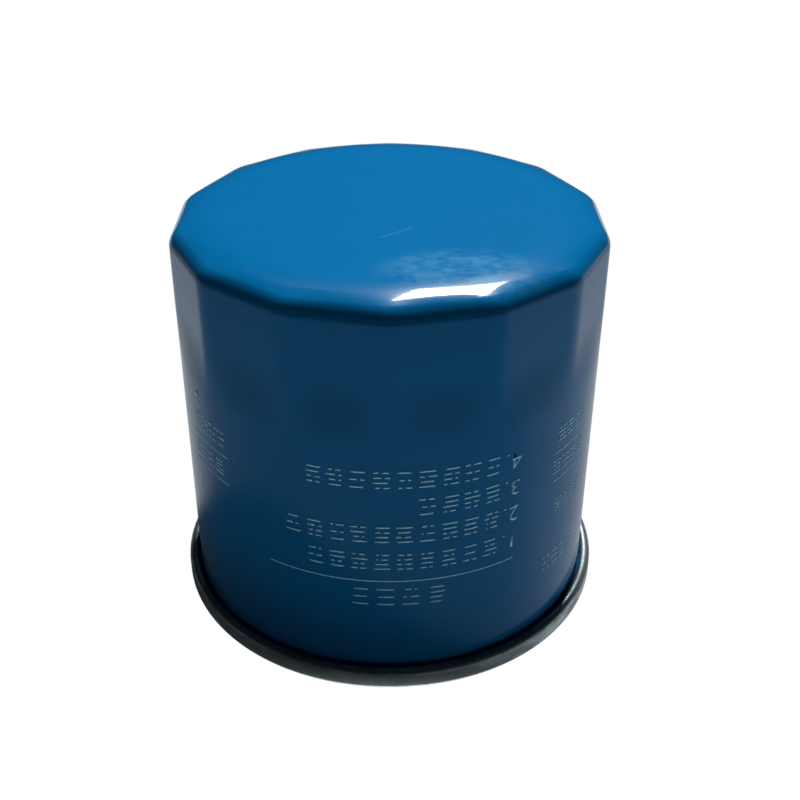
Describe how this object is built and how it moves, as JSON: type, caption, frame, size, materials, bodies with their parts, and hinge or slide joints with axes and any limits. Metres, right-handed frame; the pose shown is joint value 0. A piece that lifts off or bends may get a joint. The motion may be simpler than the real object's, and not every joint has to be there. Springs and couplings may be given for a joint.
{
  "type": "spin-on oil filter",
  "caption": "Round painted steel can with a fluted, crowned end, rolled seam, rubber face gasket, threaded base plate, and a pleated element with its valves inside.",
  "frame": {"origin": "centre of the gasket's sealing face, on the thread's axis, where the filter stands", "axes": "+Z along the thread's axis from the gasket up to the crowned end; a flute ridge faces -Y"},
  "size_m": [0.08, 0.08, 0.075],
  "materials": {
    "blue_paint": "gloss",
    "seam_steel": "scuffed dark coating",
    "compound": "matte",
    "gasket_rubber": "satin",
    "plate_steel": "plated",
    "valve_rubber": "matte",
    "cap_steel": "tinplate",
    "potting": "matte",
    "media_paper": "pleated paper",
    "seal_rubber": "matte",
    "spring_steel": "drawn wire"
  },
  "bodies": {
    "canister": {"can": "blue_paint", "seam_cover": "seam_steel", "seam_compound": "compound", "sealing_gasket": "gasket_rubber", "base_plate": "plate_steel", "spot_welds": "plate_steel", "drainback_collar": "valve_rubber", "drainback_flap": "valve_rubber", "support_spring": "spring_steel"},
    "drainback_valve": {"drainback_lip": "valve_rubber"},
    "element": {"lower_end_cap": "cap_steel", "lower_potting": "potting", "centre_tube": "cap_steel", "filter_media": "media_paper", "media_seam_clip": "cap_steel", "upper_potting": "potting", "upper_end_cap": "cap_steel", "bypass_cage": "cap_steel", "bypass_spring": "spring_steel", "spring_seat": "cap_steel"},
    "bypass_valve": {"bypass_poppet": "cap_steel", "bypass_seal": "seal_rubber"}
  },
  "joints": [
    {"name": "element_lift", "type": "slide", "parent": "canister", "child": "element", "axis": [0, 0, 1], "range_m": [0, 0.0015], "stiffness_N_per_m": 4000, "springref_m": -0.005, "deforming": ["support_spring"]},
    {"name": "bypass_open", "type": "slide", "parent": "element", "child": "bypass_valve", "axis": [0, 0, -1], "range_m": [0, 0.0035], "stiffness_N_per_m": 1500, "springref_m": -0.005, "deforming": ["bypass_spring"]},
    {"name": "drainback_lift", "type": "slide", "parent": "canister", "child": "drainback_valve", "axis": [0, 0, 1], "range_m": [0, 0.0016], "stiffness_N_per_m": 300, "springref_m": -0.001, "deforming": ["drainback_flap"]}
  ]
}
